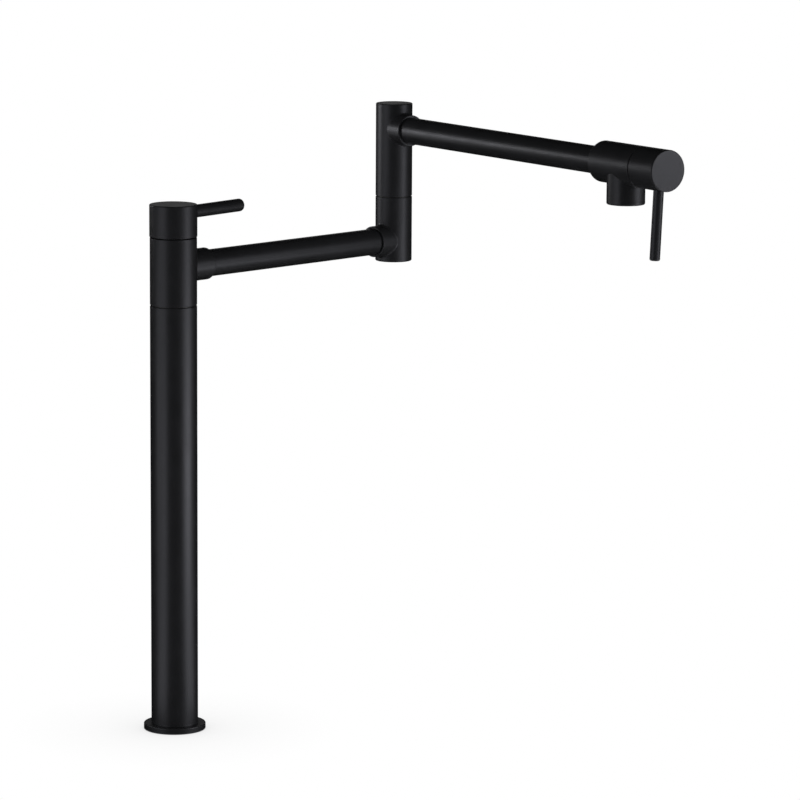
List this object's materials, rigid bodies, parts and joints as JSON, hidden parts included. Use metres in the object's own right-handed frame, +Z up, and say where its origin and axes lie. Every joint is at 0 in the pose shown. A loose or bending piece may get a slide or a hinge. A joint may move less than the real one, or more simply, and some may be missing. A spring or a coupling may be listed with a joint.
{
  "type": "pot filler",
  "caption": "Deck-mounted pot filler tap: tall round column, jointed swinging arm, and lever shut-off valves at the column's top and over the downward nozzle.",
  "frame": {"origin": "centre of the base flange's underside, on the worktop's top face and on the column's axis", "axes": "+Z up along the column; +X to the right and +Y away from the viewer as the picture looks at it"},
  "size_m": [0.4168, 0.3436, 0.5688],
  "materials": {
    "black_coating": "matte",
    "brass": "machined",
    "copper": "drawn",
    "steel": "satin",
    "black_rubber": "matte",
    "acetal": "matte",
    "ceramic": "polished"
  },
  "bodies": {
    "base": {"base_flange": "black_coating", "base_gasket": "black_rubber", "column_tube": "black_coating", "column_foot": "brass", "mounting_shank": "brass", "worktop_seal": "black_rubber", "clamp_washer": "steel", "mounting_nut": "brass", "riser_pipe": "copper", "column_head": "brass", "swivel_washer": "acetal", "swivel_seal_rings": "black_rubber", "swivel_clip": "steel"},
    "lower_arm": {"swivel_hub": "black_coating", "base_valve_seat": "brass", "base_cartridge": "brass", "base_cartridge_seal_ring": "black_rubber", "base_seat_seal": "black_rubber", "base_fixed_disc": "ceramic", "lower_arm_tube": "black_coating", "lower_elbow": "black_coating", "elbow_spindle": "brass", "elbow_washer": "acetal", "elbow_seal_rings": "black_rubber", "elbow_clip": "steel"},
    "base_handle": {"base_turning_disc": "ceramic", "base_valve_stem": "brass", "base_stem_seal_ring": "black_rubber", "base_handle_cap": "black_coating", "base_lever": "black_coating", "base_grub_screw": "steel"},
    "upper_arm": {"upper_elbow": "black_coating", "elbow_plug": "black_coating", "upper_arm_tube": "black_coating", "outlet_body": "black_coating", "outlet_cartridge": "brass", "outlet_cartridge_seal_ring": "black_rubber", "outlet_seat_seal": "black_rubber", "outlet_fixed_disc": "ceramic", "aerator_housing": "steel", "aerator_screen": "acetal", "aerator_seal": "black_rubber"},
    "outlet_handle": {"outlet_turning_disc": "ceramic", "outlet_valve_stem": "brass", "outlet_stem_seal_ring": "black_rubber", "outlet_handle_cap": "black_coating", "outlet_lever": "black_coating", "outlet_grub_screw": "steel"}
  },
  "joints": [
    {"name": "column_swivel", "type": "hinge", "parent": "base", "child": "lower_arm", "pos_m": [0, 0, 0.3555], "axis": [0, 0, 1], "continuous": true},
    {"name": "base_valve_turn", "type": "hinge", "parent": "lower_arm", "child": "base_handle", "pos_m": [0, 0, 0.4041], "axis": [0, 0, 1], "range_deg": [0, 90]},
    {"name": "elbow_swivel", "type": "hinge", "parent": "lower_arm", "child": "upper_arm", "pos_m": [0.18964, 0.16837, 0.423], "axis": [0, 0, 1], "continuous": true},
    {"name": "outlet_valve_turn", "type": "hinge", "parent": "upper_arm", "child": "outlet_handle", "pos_m": [0.36261, -0.12597, 0.4734], "axis": [0.5066, -0.8622, 0], "range_deg": [0, 90]}
  ]
}
